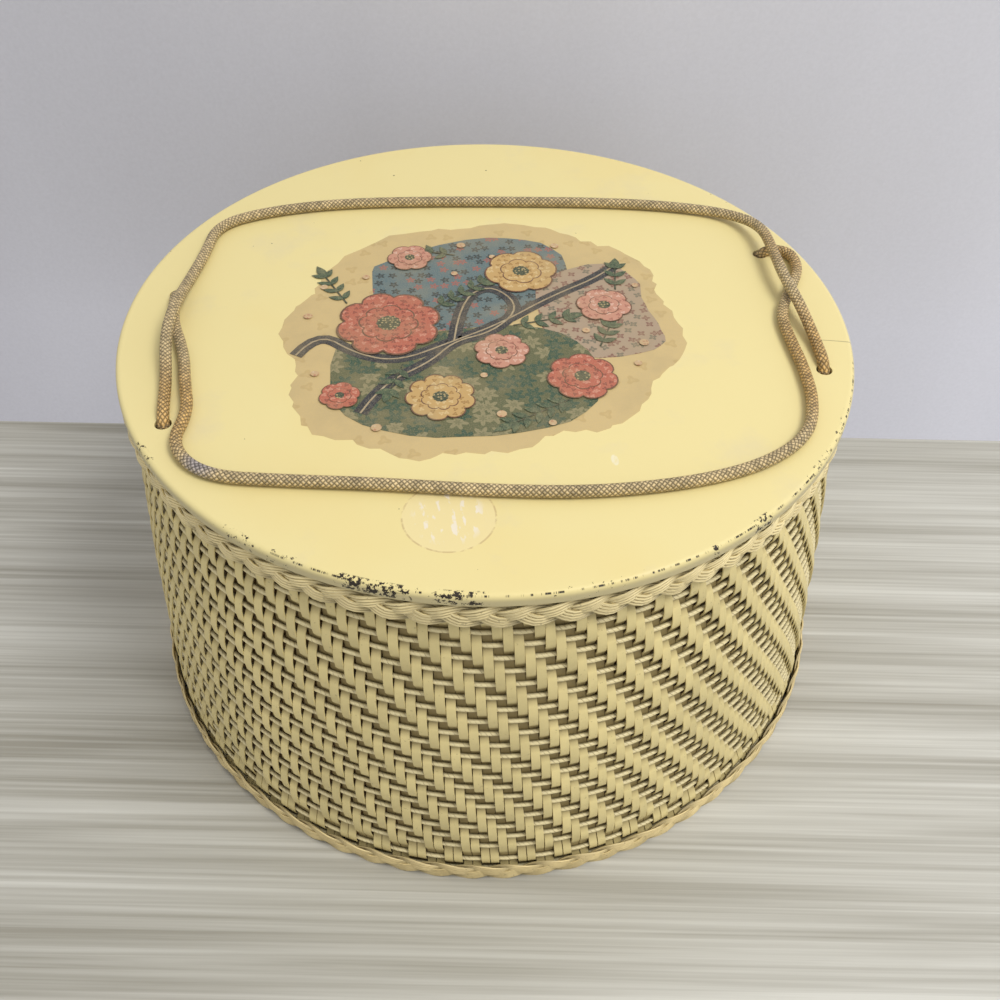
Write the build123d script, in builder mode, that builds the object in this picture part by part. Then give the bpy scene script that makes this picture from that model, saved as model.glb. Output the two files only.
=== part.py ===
"""Round woven sewing basket with a painted board lid and two braided cord handles.

The basket is a twill of flat upright splints over a weft of thin rods, drawn round a
raised base board, with a plaited foot and a plaited rim.  The lid is a flat board with
four holes.  Each handle is one cord: its two ends go down through a pair of lid holes
and through the base board to knots, so the lid slides up the cords to open.

Frame: millimetres, +Z up, floor at z = 0, Z through the middle of the basket, X along
the pairs of lid holes that each handle spans.
"""

import os
from math import atan2, cos, degrees, pi, radians, sin, tan

from build123d import *

os.makedirs("parts", exist_ok=True)

# ---------------------------------------------------------------- driving dimensions
BASKET_HEIGHT = 187.0  # floor to the top of the rim, where the lid rests
TOP_RADIUS = 160.5  # outside of the splints at the rim
FOOT_RADIUS = 175.5  # outside of the splints at the floor
BELLY = 1.5  # how far the side stands out from a straight slope at half height
WALL_THICKNESS = 2.4  # weft and the inner half of the weave
FLOOR_GAP = 0.6  # the weave stops this far above the floor

SPLINT_COUNT = 256
SPLINT_WIDTH = 3.65
SPLINT_THICKNESS = 0.8

FOOT_BRAID_HEIGHT = 9.0
FOOT_BRAID_WIDTH = 4.0  # how far the foot braid stands out from the splints
FOOT_BRAID_FLAT = 2.8  # width of the flat that stands on the floor
RIM_BRAID_HEIGHT = 10.6
RIM_BRAID_WIDTH = 4.2
LID_SEAT_GAP = 0.3  # the braid and the weave stop this far below the lid
BRAID_FIT = 0.02  # between the flat splints and the round inside of each braid

BOARD_LIFT = 9.0  # underside of the base board above the floor
BOARD_THICKNESS = 4.0
BASE_BRAD_COUNT = 16
BRAD_WIDTH = 1.2  # square wire
BRAD_SINK = 0.3  # outer ends of the brads lie this far under the splints
BASE_BRAD_LENGTH = 12.0

HOOP_HEIGHT = 12.0
HOOP_THICKNESS = 3.0
RIM_BRAD_COUNT = 24
RIM_BRAD_LENGTH = 4.8

LID_OVERHANG = 4.5  # beyond the outside of the splints
LID_THICKNESS = 6.0
LID_TOP_ROUND = 2.2
LID_BOTTOM_ROUND = 1.0

CORD_DIAMETER = 5.0
CORD_GAP = 0.3  # a cord lies this far above the lid
HOLE_CLEARANCE = 0.9  # round the cord, in the lid
BOARD_HOLE_CLEARANCE = 0.5  # round the cord, in the base board
FRONT_HOLE_INSET = 13.29  # from the lid's edge to the middle of a front hole
FRONT_HOLE_ANGLE = 21.66  # degrees forward of the left and right ends of the lid
BACK_HOLE_INSET = 19.6
BACK_HOLE_ANGLE = 14.13

KNOT_RADIUS = 6.4  # over the corners of its eight sides
KNOT_HEIGHT = 7.4
KNOT_CHAMFER = 2.0
KNOT_END_LENGTH = 11.0

# ---------------------------------------------------------------- worked-out levels
LID_TOP = BASKET_HEIGHT + LID_THICKNESS
WEAVE_TOP = BASKET_HEIGHT - LID_SEAT_GAP
CORD_RADIUS = CORD_DIAMETER / 2
CORD_Z = LID_TOP + CORD_GAP + CORD_RADIUS
BOARD_TOP = BOARD_LIFT + BOARD_THICKNESS
MIDDLE_RADIUS = (FOOT_RADIUS + TOP_RADIUS) / 2 + BELLY
LID_RADIUS = TOP_RADIUS + LID_OVERHANG
LID_HOLE_RADIUS = CORD_RADIUS + HOLE_CLEARANCE
BOARD_HOLE_RADIUS = CORD_RADIUS + BOARD_HOLE_CLEARANCE


def hole_place(inset, angle):
    """Middle of a right-hand hole, as (x, y), this far inside the lid's edge."""
    reach = LID_RADIUS - inset
    return reach * cos(radians(angle)), reach * sin(radians(angle))


FRONT_HOLE_X, FRONT_HOLE_Y = hole_place(FRONT_HOLE_INSET, -FRONT_HOLE_ANGLE)
BACK_HOLE_X, BACK_HOLE_Y = hole_place(BACK_HOLE_INSET, BACK_HOLE_ANGLE)
HOLES = {
    "left_front": (-FRONT_HOLE_X, FRONT_HOLE_Y),
    "right_front": (FRONT_HOLE_X, FRONT_HOLE_Y),
    "left_back": (-BACK_HOLE_X, BACK_HOLE_Y),
    "right_back": (BACK_HOLE_X, BACK_HOLE_Y),
}


def basket_radius(z, inset=0.0):
    """Radius of the basket's side at height z, inset from the outside of the splints."""
    half = BASKET_HEIGHT / 2
    if z < half:
        return FOOT_RADIUS + (MIDDLE_RADIUS - FOOT_RADIUS) * z / half - inset
    return MIDDLE_RADIUS + (TOP_RADIUS - MIDDLE_RADIUS) * (z - half) / half - inset


def side_line(low, high, inset):
    """Points of the basket's side from low to high, with its belly if it lies between."""
    heights = [low, BASKET_HEIGHT / 2, high] if low < BASKET_HEIGHT / 2 < high else [low, high]
    return [(basket_radius(z, inset), z) for z in heights]


def cord_radii(points):
    """Bend radii of a cord route: each arc takes 0.45 of its shorter neighbouring run."""
    route = [Vector(*p) for p in points]
    radii = []
    for before, corner, after in zip(route, route[1:], route[2:]):
        run_in, run_out = corner - before, after - corner
        turn = run_in.get_angle(run_out)
        reach = 0.45 * min(run_in.length, run_out.length)
        radii.append(reach / tan(radians(turn) / 2))
    return radii


# ---------------------------------------------------------------- basket: the weave
wall_outer = side_line(FLOOR_GAP, WEAVE_TOP, SPLINT_THICKNESS)
wall_inner = side_line(FLOOR_GAP, WEAVE_TOP, SPLINT_THICKNESS + WALL_THICKNESS)

with BuildPart() as woven_wall:
    with BuildSketch(Plane.XZ):
        with BuildLine():
            Polyline(*wall_outer, *reversed(wall_inner), close=True)
        make_face()
    revolve(axis=Axis.Z)
woven_wall.part.label = "woven_wall"
export_step(woven_wall.part, "parts/woven_wall.step")

# Flat splints stand side by side round the wall, each following the side's slope.
splint_outer = side_line(FLOOR_GAP, WEAVE_TOP, 0.0)

with BuildPart() as splint:
    with BuildSketch(Plane.XZ.offset(-SPLINT_WIDTH / 2)):
        with BuildLine():
            Polyline(*splint_outer, *reversed(wall_outer), close=True)
        make_face()
    extrude(amount=SPLINT_WIDTH)

with BuildPart() as warp_splints:
    with PolarLocations(0, SPLINT_COUNT):
        add(splint.part, clean=False)
warp_splints.part.label = "warp_splints"
export_step(warp_splints.part, "parts/warp_splints.step")

# ---------------------------------------------------------------- basket: foot and base
foot_inner = side_line(0.0, FOOT_BRAID_HEIGHT, -BRAID_FIT)
foot_flat = FOOT_RADIUS + FOOT_BRAID_FLAT

with BuildPart() as base_braid:
    with BuildSketch(Plane.XZ):
        with BuildLine():
            Polyline((foot_flat, 0), *foot_inner, (foot_flat, FOOT_BRAID_HEIGHT))
            ThreePointArc(
                (foot_flat, FOOT_BRAID_HEIGHT),
                (FOOT_RADIUS + FOOT_BRAID_WIDTH, FOOT_BRAID_HEIGHT / 2),
                (foot_flat, 0),
            )
        make_face()
    revolve(axis=Axis.Z)
base_braid.part.label = "base_braid"
export_step(base_braid.part, "parts/base_braid.step")

board_edge = side_line(BOARD_LIFT, BOARD_TOP, SPLINT_THICKNESS + WALL_THICKNESS)

with BuildPart() as base_board:
    with BuildSketch(Plane.XZ):
        with BuildLine():
            Polyline((0, BOARD_LIFT), *board_edge, (0, BOARD_TOP), close=True)
        make_face()
    revolve(axis=Axis.Z)
    with Locations(*[(x, y, BOARD_TOP) for x, y in HOLES.values()]):
        Hole(BOARD_HOLE_RADIUS)
base_board.part.label = "base_board"
export_step(base_board.part, "parts/base_board.step")

# Headless brads through the weave hold the edge of the base board.
brad_height = BOARD_LIFT + BOARD_THICKNESS / 2
brad_end = basket_radius(brad_height, SPLINT_THICKNESS + BRAD_SINK)
brad_middle = brad_end - BASE_BRAD_LENGTH / 2

with BuildPart() as base_brads:
    with Locations((0, 0, brad_height)):
        with PolarLocations(brad_middle, BASE_BRAD_COUNT):
            Box(BASE_BRAD_LENGTH, BRAD_WIDTH, BRAD_WIDTH)
base_brads.part.label = "base_brads"
export_step(base_brads.part, "parts/base_brads.step")

# ---------------------------------------------------------------- basket: the rim
hoop_low = BASKET_HEIGHT - HOOP_HEIGHT
hoop_inset = SPLINT_THICKNESS + WALL_THICKNESS
hoop_outer = side_line(hoop_low, BASKET_HEIGHT, hoop_inset)
hoop_inner = side_line(hoop_low, BASKET_HEIGHT, hoop_inset + HOOP_THICKNESS)

with BuildPart() as rim_hoop:
    with BuildSketch(Plane.XZ):
        with BuildLine():
            Polyline(*hoop_outer, *reversed(hoop_inner), close=True)
        make_face()
    revolve(axis=Axis.Z)
rim_hoop.part.label = "rim_hoop"
export_step(rim_hoop.part, "parts/rim_hoop.step")

rim_brad_height = BASKET_HEIGHT - HOOP_HEIGHT / 2
rim_brad_end = basket_radius(rim_brad_height, SPLINT_THICKNESS + BRAD_SINK)
rim_brad_middle = rim_brad_end - RIM_BRAD_LENGTH / 2

with BuildPart() as rim_brads:
    with Locations((0, 0, rim_brad_height)):
        with PolarLocations(rim_brad_middle, RIM_BRAD_COUNT):
            Box(RIM_BRAD_LENGTH, BRAD_WIDTH, BRAD_WIDTH)
rim_brads.part.label = "rim_brads"
export_step(rim_brads.part, "parts/rim_brads.step")

rim_low = WEAVE_TOP - RIM_BRAID_HEIGHT
rim_inner = side_line(rim_low, WEAVE_TOP, -BRAID_FIT)
rim_outer = [(r + RIM_BRAID_WIDTH / 2, z) for r, z in rim_inner]
rim_belly = (
    basket_radius(rim_low + RIM_BRAID_HEIGHT / 2) + RIM_BRAID_WIDTH,
    rim_low + RIM_BRAID_HEIGHT / 2,
)

with BuildPart() as rim_braid:
    with BuildSketch(Plane.XZ):
        with BuildLine():
            Polyline(rim_outer[0], *rim_inner, rim_outer[1])
            ThreePointArc(rim_outer[1], rim_belly, rim_outer[0])
        make_face()
    revolve(axis=Axis.Z)
rim_braid.part.label = "rim_braid"
export_step(rim_braid.part, "parts/rim_braid.step")

# ---------------------------------------------------------------- the lid
with BuildPart() as lid_board:
    with BuildSketch(Plane.XY.offset(BASKET_HEIGHT)):
        Circle(LID_RADIUS)
    extrude(amount=LID_THICKNESS)
    fillet(lid_board.edges().group_by(Axis.Z)[-1], LID_TOP_ROUND)
    fillet(lid_board.edges().group_by(Axis.Z)[0], LID_BOTTOM_ROUND)
    with Locations(*[(x, y, LID_TOP) for x, y in HOLES.values()]):
        Hole(LID_HOLE_RADIUS)
lid_board.part.label = "lid_board"
export_step(lid_board.part, "parts/lid_board.step")

# ---------------------------------------------------------------- the handle cords
# Routes on the lid: x, y and the height above a cord that lies flat on the lid.  The
# back handle starts and ends at the front holes, lies towards the back and rides over
# the front handle at both sides.  The front handle starts and ends at the back holes.
BACK_HANDLE_ROUTE = [
    (-FRONT_HOLE_X, FRONT_HOLE_Y, 0),
    (-141.2, -32, 0),
    (-142.2, -7, 9),
    (-139.4, 15, 10),
    (-134.4, 39, 3),
    (-130, 64, 0),
    (-124, 89, 0),
    (-100, 99, 0),
    (-62, 103, 0),
    (-12, 99, 0),
    (32, 93.5, 0),
    (75, 87.5, 0),
    (111, 79, 0),
    (135, 68, 1),
    (144, 48, 9),
    (142.6, 26, 10),
    (140.6, 5, 10),
    (141.6, -17, 8),
    (142.6, -38, 0),
    (FRONT_HOLE_X, FRONT_HOLE_Y, 0),
]
FRONT_HANDLE_ROUTE = [
    (-BACK_HOLE_X, BACK_HOLE_Y, 0),
    (-141, 12, 0),
    (-136.4, -12, 0),
    (-134.6, -34, 0),
    (-130.6, -53, 0),
    (-136, -74, 0),
    (-123, -92, 0),
    (-92, -98.5, 0),
    (-55, -105, 0),
    (-14, -114, 0),
    (26, -120, 0),
    (66, -119.5, 0),
    (96, -113, 0),
    (118, -99.5, 0),
    (127.5, -79, 0),
    (130.8, -56, 0),
    (131.6, -35, 0),
    (133.4, -17, 0),
    (144.5, 1, 0),
    (154.5, 18, 0),
    (154, 33, 0),
    (BACK_HOLE_X, BACK_HOLE_Y, 0),
]

back_points = [(x, y, CORD_Z + rise) for x, y, rise in BACK_HANDLE_ROUTE]
with BuildPart() as back_handle:
    with BuildLine() as back_line:
        FilletPolyline(*back_points, radius=cord_radii(back_points))
    with BuildSketch(Plane(origin=back_line.line @ 0, z_dir=back_line.line % 0)):
        Circle(CORD_RADIUS)
    sweep()
back_handle.part.label = "back_handle"
export_step(back_handle.part, "parts/back_handle.step")

front_points = [(x, y, CORD_Z + rise) for x, y, rise in FRONT_HANDLE_ROUTE]
with BuildPart() as front_handle:
    with BuildLine() as front_line:
        FilletPolyline(*front_points, radius=cord_radii(front_points))
    with BuildSketch(Plane(origin=front_line.line @ 0, z_dir=front_line.line % 0)):
        Circle(CORD_RADIUS)
    sweep()
front_handle.part.label = "front_handle"
export_step(front_handle.part, "parts/front_handle.step")

# Below the lid each cord end runs straight down to a knot under the base board.
for place, (hole_x, hole_y) in HOLES.items():
    with BuildPart() as cord_tail:
        with BuildSketch(Plane.XY.offset(BOARD_LIFT)):
            with Locations((hole_x, hole_y)):
                Circle(CORD_RADIUS)
        extrude(amount=LID_TOP - BOARD_LIFT)
    cord_tail.part.label = f"cord_tail_{place}"
    export_step(cord_tail.part, f"parts/cord_tail_{place}.step")

    knot_low = BOARD_LIFT - KNOT_HEIGHT
    knot_middle = BOARD_LIFT - KNOT_HEIGHT / 2
    inwards = degrees(atan2(-hole_y, -hole_x))
    with BuildPart() as knot:
        with BuildSketch(Plane.XY.offset(knot_low)):
            with Locations((hole_x, hole_y)):
                RegularPolygon(KNOT_RADIUS, 8)
        extrude(amount=KNOT_HEIGHT)
        chamfer(knot.edges().group_by(Axis.Z)[-1], KNOT_CHAMFER)
        chamfer(knot.edges().group_by(Axis.Z)[0], KNOT_CHAMFER)
        with Locations(Location((hole_x, hole_y, knot_middle), (0, 0, inwards))):
            Cylinder(
                CORD_RADIUS,
                KNOT_END_LENGTH,
                rotation=(0, 90, 0),
                align=(Align.CENTER, Align.CENTER, Align.MIN),
            )
    knot.part.label = f"knot_{place}"
    export_step(knot.part, f"parts/knot_{place}.step")

# ---------------------------------------------------------------- what was made
for name, line, points, handle in (
    ("back handle", back_line, back_points, back_handle),
    ("front handle", front_line, front_points, front_handle),
):
    length = sum(edge.length for edge in line.edges())
    made = handle.part.volume / (pi * CORD_RADIUS**2 * length)
    radii = ", ".join(f"{radius:.0f}" for radius in cord_radii(points))
    print(f"{name}: {length:.0f} mm, volume against section x length {made:.4f}")
    print(f"  bend radii {radii}")
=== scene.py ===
# %% [markdown]
# # A round woven sewing basket
# The basket, its painted lid and its two cord handles are already there as plain solids
# that know how they move.  This notebook dresses them: it weaves the side, plaits the
# rim and the foot, paints the lid and braids the cords.  The first cell loads the solids.

from math import atan2, cos, hypot, pi, radians, sin

import bpy
from mathutils import Matrix, Vector, noise


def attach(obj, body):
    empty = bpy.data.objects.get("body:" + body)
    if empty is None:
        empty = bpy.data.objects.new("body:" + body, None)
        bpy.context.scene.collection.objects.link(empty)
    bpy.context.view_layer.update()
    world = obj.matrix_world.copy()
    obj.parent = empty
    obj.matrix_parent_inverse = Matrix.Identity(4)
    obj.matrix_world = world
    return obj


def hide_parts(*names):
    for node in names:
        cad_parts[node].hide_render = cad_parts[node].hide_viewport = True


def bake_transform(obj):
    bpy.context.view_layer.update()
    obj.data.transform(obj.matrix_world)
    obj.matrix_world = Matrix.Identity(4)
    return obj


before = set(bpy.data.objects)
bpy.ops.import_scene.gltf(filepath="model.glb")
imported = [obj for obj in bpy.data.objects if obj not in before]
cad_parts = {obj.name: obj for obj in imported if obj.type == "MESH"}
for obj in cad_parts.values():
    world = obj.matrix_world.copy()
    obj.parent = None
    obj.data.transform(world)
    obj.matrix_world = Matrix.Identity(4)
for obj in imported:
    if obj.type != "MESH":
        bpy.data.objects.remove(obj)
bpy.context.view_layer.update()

# %% [markdown]
# ## Shared steps
# Small helpers do what a modeller does over and over: start from a clean selection,
# draw a curve, apply a modifier, smooth the shading, and bring a finished piece's place
# into its mesh.  The side of the basket is a straight slope with a slight belly, and
# everything woven on it asks one function for its radius.  An old basket is never quite
# round: one more function moves its right side a little.

# %% Helpers
BASKET_HEIGHT = 0.187
TOP_RADIUS = 0.1605
FOOT_RADIUS = 0.1755
BELLY = 0.0015
MIDDLE_RADIUS = (TOP_RADIUS + FOOT_RADIUS) / 2 + BELLY
LID_TOP = 0.193


def side_radius(z, inset=0.0):
    """Radius of the basket's side at height z, inset from the outside of the weave."""
    half = BASKET_HEIGHT / 2
    if z < half:
        return FOOT_RADIUS + (MIDDLE_RADIUS - FOOT_RADIUS) * z / half - inset
    return MIDDLE_RADIUS + (TOP_RADIUS - MIDDLE_RADIUS) * (z - half) / half - inset


LEAN_LOW, LEAN_HIGH = 0.0042, -0.0010  # how far the right side is out of true, foot and rim
LEAN_FROM, LEAN_FULL = 0.35, 0.95  # shares of the way to the right where that starts and ends


def out_of_true(piece):
    """The right side of an old basket stands out a little at the foot and in at the rim."""
    for vertex in piece.data.vertices:
        x, y, z = vertex.co
        share = (x / max(hypot(x, y), 0.001) - LEAN_FROM) / (LEAN_FULL - LEAN_FROM)
        share = min(max(share, 0.0), 1.0)
        height = min(max(z / BASKET_HEIGHT, 0.0), 1.0)
        lean = LEAN_LOW + (LEAN_HIGH - LEAN_LOW) * height
        vertex.co.x += lean * share * share * (3 - 2 * share)


def add_object(name, data):
    """Show a mesh or a curve as an object."""
    thing = bpy.data.objects.new(name, data)
    bpy.context.collection.objects.link(thing)
    return thing


def drawn_curve(name, lines, dimensions="2D", closed=True, kind="POLY"):
    """A curve object with one spline for each list of (x, y, z) points."""
    curve = bpy.data.curves.new(name, "CURVE")
    curve.dimensions = dimensions
    for line in lines:
        spline = curve.splines.new(kind)
        spline.points.add(len(line) - 1)
        for point, place in zip(spline.points, line):
            point.co = (*place, 1)
        spline.use_cyclic_u = closed
        if kind == "NURBS":
            spline.order_u = 3
            spline.use_endpoint_u = True
    return add_object(name, curve)


def mesh_of(drawn):
    """The mesh that a curve object makes; the curve itself goes."""
    bpy.context.view_layer.update()
    mesh = bpy.data.meshes.new_from_object(drawn)
    bpy.data.objects.remove(drawn)
    return mesh


def start_clean():
    """Leave edit mode and select nothing, so that the next operator acts on its piece only."""
    if bpy.context.object and bpy.context.object.mode != "OBJECT":
        bpy.ops.object.mode_set(mode="OBJECT")
    bpy.ops.object.select_all(action="DESELECT")


def work_on(piece):
    """Make piece the one selected, active object."""
    start_clean()
    piece.select_set(True)
    bpy.context.view_layer.objects.active = piece
    return piece


def apply_modifier(piece, kind, **settings):
    """Add a modifier with these settings and apply it at once."""
    work_on(piece)
    modifier = piece.modifiers.new(kind.title(), kind)
    for name, value in settings.items():
        setattr(modifier, name, value)
    bpy.ops.object.modifier_apply(modifier=modifier.name)


def join(pieces, name):
    """Make one object of several."""
    start_clean()
    for piece in pieces:
        piece.select_set(True)
    bpy.context.view_layer.objects.active = pieces[0]
    bpy.ops.object.join()
    pieces[0].name = name
    pieces[0].data.name = name
    return pieces[0]


def outwards(piece):
    """Weld what touches and point every face out of its solid."""
    work_on(piece)
    bpy.ops.object.mode_set(mode="EDIT")
    bpy.ops.mesh.select_all(action="SELECT")
    bpy.ops.mesh.remove_doubles(threshold=1e-6)
    bpy.ops.mesh.normals_make_consistent(inside=False)
    bpy.ops.object.mode_set(mode="OBJECT")


def settle(piece, angle=40.0):
    """Put the piece's place into its mesh and smooth its shading."""
    work_on(piece)
    bpy.ops.object.transform_apply(location=True, rotation=True, scale=True)
    bpy.ops.object.shade_smooth_by_angle(angle=radians(angle))
    return piece


def triangles(piece):
    """How many triangles the piece's faces make."""
    return sum(len(face.vertices) - 2 for face in piece.data.polygons)


# %% [markdown]
# ## A tube that follows a line
# Cords and the strands of a plait are all round bars bent along a line.  Here a ring of
# points is carried along the line and turned as little as possible from one step to the
# next, so that a braid pattern on it does not twist.  The tube has a map: along it in
# metres, and once around it, so a material can lay a braid on it.

# %% The tube helper
def tube_mesh(name, line, radius, sides, closed=False):
    """A mesh tube round a line of points, with a UV map (metres along, turns around)."""
    line = [Vector(p) for p in line]
    count = len(line)
    steps = []
    for i in range(count):
        before = line[(i - 1) % count] if closed or i > 0 else line[0]
        after = line[(i + 1) % count] if closed or i < count - 1 else line[-1]
        steps.append((after - before).normalized())
    side = steps[0].orthogonal().normalized()
    if abs(steps[0].z) < 0.9:
        side = steps[0].cross(Vector((0, 0, 1))).normalized()
    points, along, travelled = [], [], 0.0
    for i in range(count):
        if i:
            turn = steps[i - 1].rotation_difference(steps[i])
            side = turn @ side
            travelled += (line[i] - line[i - 1]).length
        other = steps[i].cross(side).normalized()
        for k in range(sides):
            a = 2 * pi * k / sides
            points.append(line[i] + radius * (cos(a) * side + sin(a) * other))
        along.append(travelled)
    faces, maps = [], []
    last = count if closed else count - 1
    for i in range(last):
        j = (i + 1) % count
        length_here = along[i]
        length_next = along[j] if j else travelled + (line[0] - line[-1]).length
        for k in range(sides):
            m = (k + 1) % sides
            faces.append((i * sides + k, i * sides + m, j * sides + m, j * sides + k))
            v, w = k / sides, (k + 1) / sides
            maps.append([(length_here, v), (length_here, w), (length_next, w), (length_next, v)])
    if not closed:
        first, top = range(sides - 1, -1, -1), (count - 1) * sides
        faces += [tuple(first), tuple(range(top, top + sides))]
        maps.append([(along[0], k / sides) for k in first])
        maps.append([(along[-1], k / sides) for k in range(sides)])
    mesh = bpy.data.meshes.new(name)
    mesh.from_pydata([tuple(p) for p in points], [], faces)
    layer = mesh.uv_layers.new(name="along")
    layer.data.foreach_set("uv", [value for corners in maps for uv in corners for value in uv])
    mesh.update()
    return add_object(name, mesh)


print("helpers ready")

# %% [markdown]
# ## Writing a finish
# A finish is a net of nodes: each takes numbers, colours or places from others and gives
# one on.  A long net is hard to read, so a value that flows out of a node is wrapped
# here, and can then be added, scaled and compared in plain formulas.

# %% Small node helpers
class Field:
    """A value that flows out of a node, so that a formula on it can be written out."""

    def __init__(self, socket):
        self.socket = socket
        self.tree = socket.id_data

    def __add__(self, other):
        return maths("ADD", self, other)

    def __sub__(self, other):
        return maths("SUBTRACT", self, other)

    def __rsub__(self, other):
        return maths("SUBTRACT", other, self)

    def __mul__(self, other):
        return maths("MULTIPLY", self, other)

    def __truediv__(self, other):
        return maths("DIVIDE", self, other)

    def __abs__(self):
        return maths("ABSOLUTE", self)


def feed(socket, value):
    """Link a field to a socket, or write a plain value on it."""
    if isinstance(value, Field):
        value.tree.links.new(value.socket, socket)
    elif socket.type == "RGBA" and len(value) == 3:
        socket.default_value = (*value, 1.0)
    else:
        socket.default_value = value


def put(tree, kind, settings=None, **inputs):
    """Add a node, set its properties, and feed its inputs by name or number (i0, i1)."""
    node = tree.nodes.new(kind)
    for name, value in (settings or {}).items():
        setattr(node, name, value)
    for name, value in inputs.items():
        numbered = name[0] == "i" and name[1:].isdigit()
        feed(node.inputs[int(name[1:]) if numbered else name.replace("_", " ")], value)
    return node


def field(node, output=0):
    """What flows out of a node's output, by name or number."""
    return Field(node.outputs[output])


def maths(operation, *values):
    """One Math node on these fields and numbers."""
    tree = next(value.tree for value in values if isinstance(value, Field))
    node = put(tree, "ShaderNodeMath", {"operation": operation})
    for socket, value in zip(node.inputs, values):
        feed(socket, value)
    return field(node)


def vector_maths(operation, first, second, output="Vector"):
    """One Vector Math node."""
    settings = {"operation": operation}
    return field(put(first.tree, "ShaderNodeVectorMath", settings, i0=first, i1=second), output)


def scaled(colour, level):
    """A colour made lighter or darker."""
    settings = {"operation": "SCALE"}
    return field(put(colour.tree, "ShaderNodeVectorMath", settings, i0=colour, Scale=level))


def blend_colour(mask, first, second):
    """Mix two colours by a mask."""
    node = put(mask.tree, "ShaderNodeMix", {"data_type": "RGBA"})
    for name, value in (("Factor", mask), ("A", first), ("B", second)):
        feed([s for s in node.inputs if s.name == name and s.enabled][0], value)
    return Field([s for s in node.outputs if s.enabled][0])


def ramp(value, low, high, to_low=0.0, to_high=1.0, kind="LINEAR"):
    """Map a value from one range to another, and stop at its ends."""
    settings = {"clamp": True, "interpolation_type": kind}
    node = put(value.tree, "ShaderNodeMapRange", settings, Value=value)
    limits = {"From Min": low, "From Max": high, "To Min": to_low, "To Max": to_high}
    for name, limit in limits.items():
        feed(node.inputs[name], limit)
    return field(node, "Result")


def noise_value(place, scale, detail=3.0, roughness=0.55):
    """Noise between 0 and 1 at the given place."""
    settings = {"Scale": scale, "Detail": detail, "Roughness": roughness}
    return field(put(place.tree, "ShaderNodeTexNoise", Vector=place, **settings), "Fac")


def object_place(tree):
    """The point on the piece, in metres."""
    return field(put(tree, "ShaderNodeTexCoord"), "Object")


def map_place(tree, **settings):
    """The point on the piece's map."""
    return field(put(tree, "ShaderNodeUVMap", settings))


def stretched(place, **how):
    """A place that is turned or scaled before a texture reads it."""
    return field(put(place.tree, "ShaderNodeMapping", Vector=place, **how))


def parts_of(value, kind="XYZ"):
    """The three parts of a place, or of a colour with the kind Color."""
    return [Field(s) for s in put(value.tree, "ShaderNodeSeparate" + kind, i0=value).outputs]


def place_of(tree, **parts):
    """A place put together from its parts."""
    return field(put(tree, "ShaderNodeCombineXYZ", **parts))


def new_material(name, roughness, shine=0.5):
    """A material with a Principled shader, its tree and that shader."""
    material = bpy.data.materials.new(name)
    material.use_nodes = True
    shader = material.node_tree.nodes["Principled BSDF"]
    shader.inputs["Roughness"].default_value = roughness
    shader.inputs["Specular IOR Level"].default_value = shine
    return material, material.node_tree, shader


def bumped(shader, height, strength, distance):
    """Let a field stand out of the surface."""
    bump = put(height.tree, "ShaderNodeBump", Height=height, Strength=strength, Distance=distance)
    feed(shader.inputs["Normal"], field(bump, "Normal"))


def coloured(shader, colour):
    """Give the shader its colour."""
    feed(shader.inputs["Base Color"], colour)


def paint(piece, material):
    """Give a piece this one material."""
    piece.data.materials.clear()
    piece.data.materials.append(material)


def start_group(name, inputs, outputs):
    """A node group: its tree and the fields that come in.  A tuple is a colour."""
    tree = bpy.data.node_groups.new(name, "ShaderNodeTree")
    for label, value in inputs.items():
        kind = "NodeSocketColor" if isinstance(value, tuple) else "NodeSocketFloat"
        socket = tree.interface.new_socket(label, in_out="INPUT", socket_type=kind)
        socket.default_value = value
    for label in outputs:
        kind = "NodeSocketColor" if label == "Colour" else "NodeSocketFloat"
        tree.interface.new_socket(label, in_out="OUTPUT", socket_type=kind)
    return tree, {s.name: Field(s) for s in put(tree, "NodeGroupInput").outputs if s.name}


def end_group(tree, **results):
    """Link the results to the group's outputs."""
    put(tree, "NodeGroupOutput", **results)


def use_group(tree, group, **inputs):
    """Place a group in a material; gives its outputs by name."""
    node = put(tree, "ShaderNodeGroup", {"node_tree": group}, **inputs)
    return {s.name: Field(s) for s in node.outputs}


print("node helpers ready")

# %% [markdown]
# ## The camera and the light
# The basket is seen from a little to the left of its front and from 45 degrees above, so
# the whole lid shows and the side is foreshortened.  A camera is turned about three
# axes: how far it looks down, which way it faces, and a slight roll.  The light is that
# of a bright room: a soft sky from all round, and one large lamp from the upper right.

# %% Camera
VIEW_DOWN = radians(45.591)
VIEW_TURN = radians(9.058)
VIEW_ROLL = radians(1.227)
SENSOR = 36.0  # width in mm
FOCAL_SHARE = 1.0832  # focal length over that width

bpy.ops.object.select_all(action="DESELECT")
bpy.ops.object.camera_add(location=(-0.05644, -0.40298, 0.48890))
camera = bpy.context.object
camera.name = "room_camera"
camera.rotation_mode = "QUATERNION"
camera.rotation_quaternion = (
    Matrix.Rotation(-VIEW_TURN, 3, "Z")
    @ Matrix.Rotation(pi / 2 - VIEW_DOWN, 3, "X")
    @ Matrix.Rotation(VIEW_ROLL, 3, "Z")
).to_quaternion()
camera.data.sensor_width = SENSOR
camera.data.lens = FOCAL_SHARE * SENSOR
camera.data.clip_start = 0.01
bpy.context.scene.camera = camera
print("lens:", round(camera.data.lens, 1), "mm")

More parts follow.
